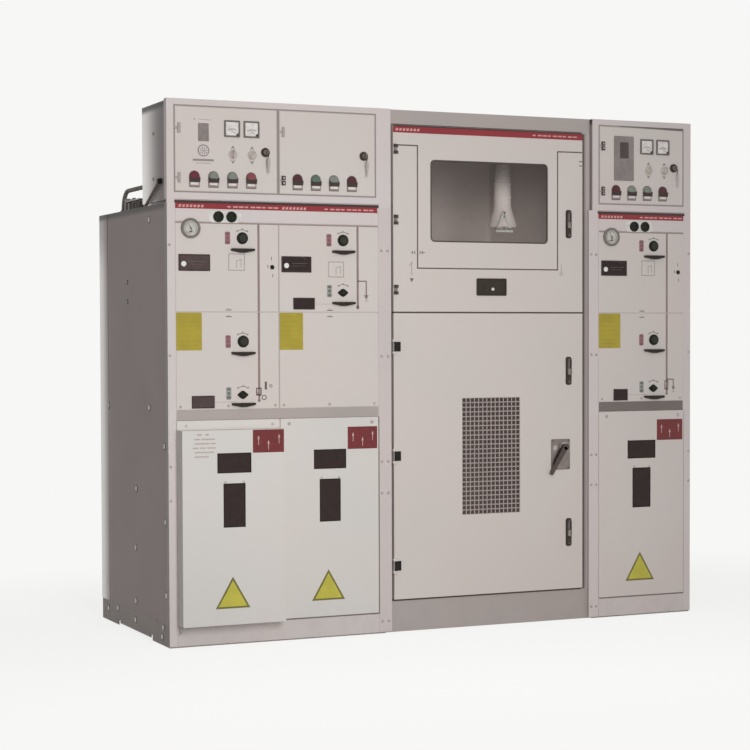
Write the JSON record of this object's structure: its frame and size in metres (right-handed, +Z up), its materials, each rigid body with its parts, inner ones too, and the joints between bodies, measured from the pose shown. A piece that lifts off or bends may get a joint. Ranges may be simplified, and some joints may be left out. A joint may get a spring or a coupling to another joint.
{
  "type": "low voltage distribution cabinet line-up",
  "caption": "Line-up of three grey sheet-metal switchgear cabinets: switch units with cable covers and instrument boxes either side of a metering cabinet with window, grille and door.",
  "frame": {"origin": "middle of the bounding box footprint, at floor level", "axes": "+X to the right along the front, -Y out of the front, +Z up"},
  "size_m": [1.834, 0.7718, 1.638],
  "materials": {
    "side_paint": "satin powder coat",
    "front_paint": "satin powder coat",
    "band_paint": "satin",
    "window_glass": "clear",
    "dark_pane": "dark tinted pane",
    "black_plastic": "satin",
    "lamp_plastic": "lens",
    "light_plastic": "satin",
    "metal": "satin",
    "grille_paint": "satin powder coat",
    "insulator_resin": "cast resin"
  },
  "bodies": {
    "cabinets": {"left_case": "side_paint", "left_base": "side_paint", "left_frame": "front_paint", "left_band": "band_paint", "fascia_a_up": "front_paint", "fascia_a_low": "front_paint", "fascia_b_up": "front_paint", "fascia_b_low": "front_paint", "cover_a": "front_paint", "gusset_a": "front_paint", "cover_b": "front_paint", "plates": "band_paint", "panes_left": "dark_pane", "left_box": "front_paint", "box_door_a": "front_paint", "box_door_b": "front_paint", "left_meters": "black_plastic", "left_lamps": "lamp_plastic", "left_selectors": "light_plastic", "left_locks": "metal", "left_gauge": "metal", "left_knobs": "metal", "left_rails": "metal", "left_conduit": "black_plastic", "seam_strip_a": "front_paint", "seam_strip_b": "front_paint", "mid_case": "side_paint", "mid_base": "side_paint", "mid_shelf": "side_paint", "mid_frame": "front_paint", "mid_band": "band_paint", "upper_door": "front_paint", "window": "window_glass", "upper_fittings": "metal", "insulator": "insulator_resin", "hinge_pins": "metal", "right_case": "side_paint", "right_base": "side_paint", "right_frame": "front_paint", "right_band": "band_paint", "fascia_c_up": "front_paint", "fascia_c_low": "front_paint", "cover_c": "front_paint", "pane_right": "dark_pane", "right_box": "front_paint", "box_door_c": "front_paint", "right_meters": "black_plastic", "right_lamps": "lamp_plastic", "right_selectors": "light_plastic", "right_lock": "metal", "controller": "light_plastic", "right_gauge": "metal", "right_knobs": "metal", "right_rails": "metal"},
    "lower_door_leaf": {"lower_door": "front_paint", "grille": "grille_paint", "lower_latches": "metal", "handle_plate": "black_plastic"},
    "door_lever": {"lever": "black_plastic"}
  },
  "joints": [
    {"name": "lower_door_hinge", "type": "hinge", "parent": "cabinets", "child": "lower_door_leaf", "pos_m": [-0.174, -0.3396, 0.55325], "axis": [0, 0, -1], "range_deg": [0, 110]},
    {"name": "lever_turn", "type": "hinge", "parent": "lower_door_leaf", "child": "door_lever", "pos_m": [0.4305, -0.3441, 0.5685], "axis": [0, 1, 0], "range_deg": [0, 60]}
  ]
}
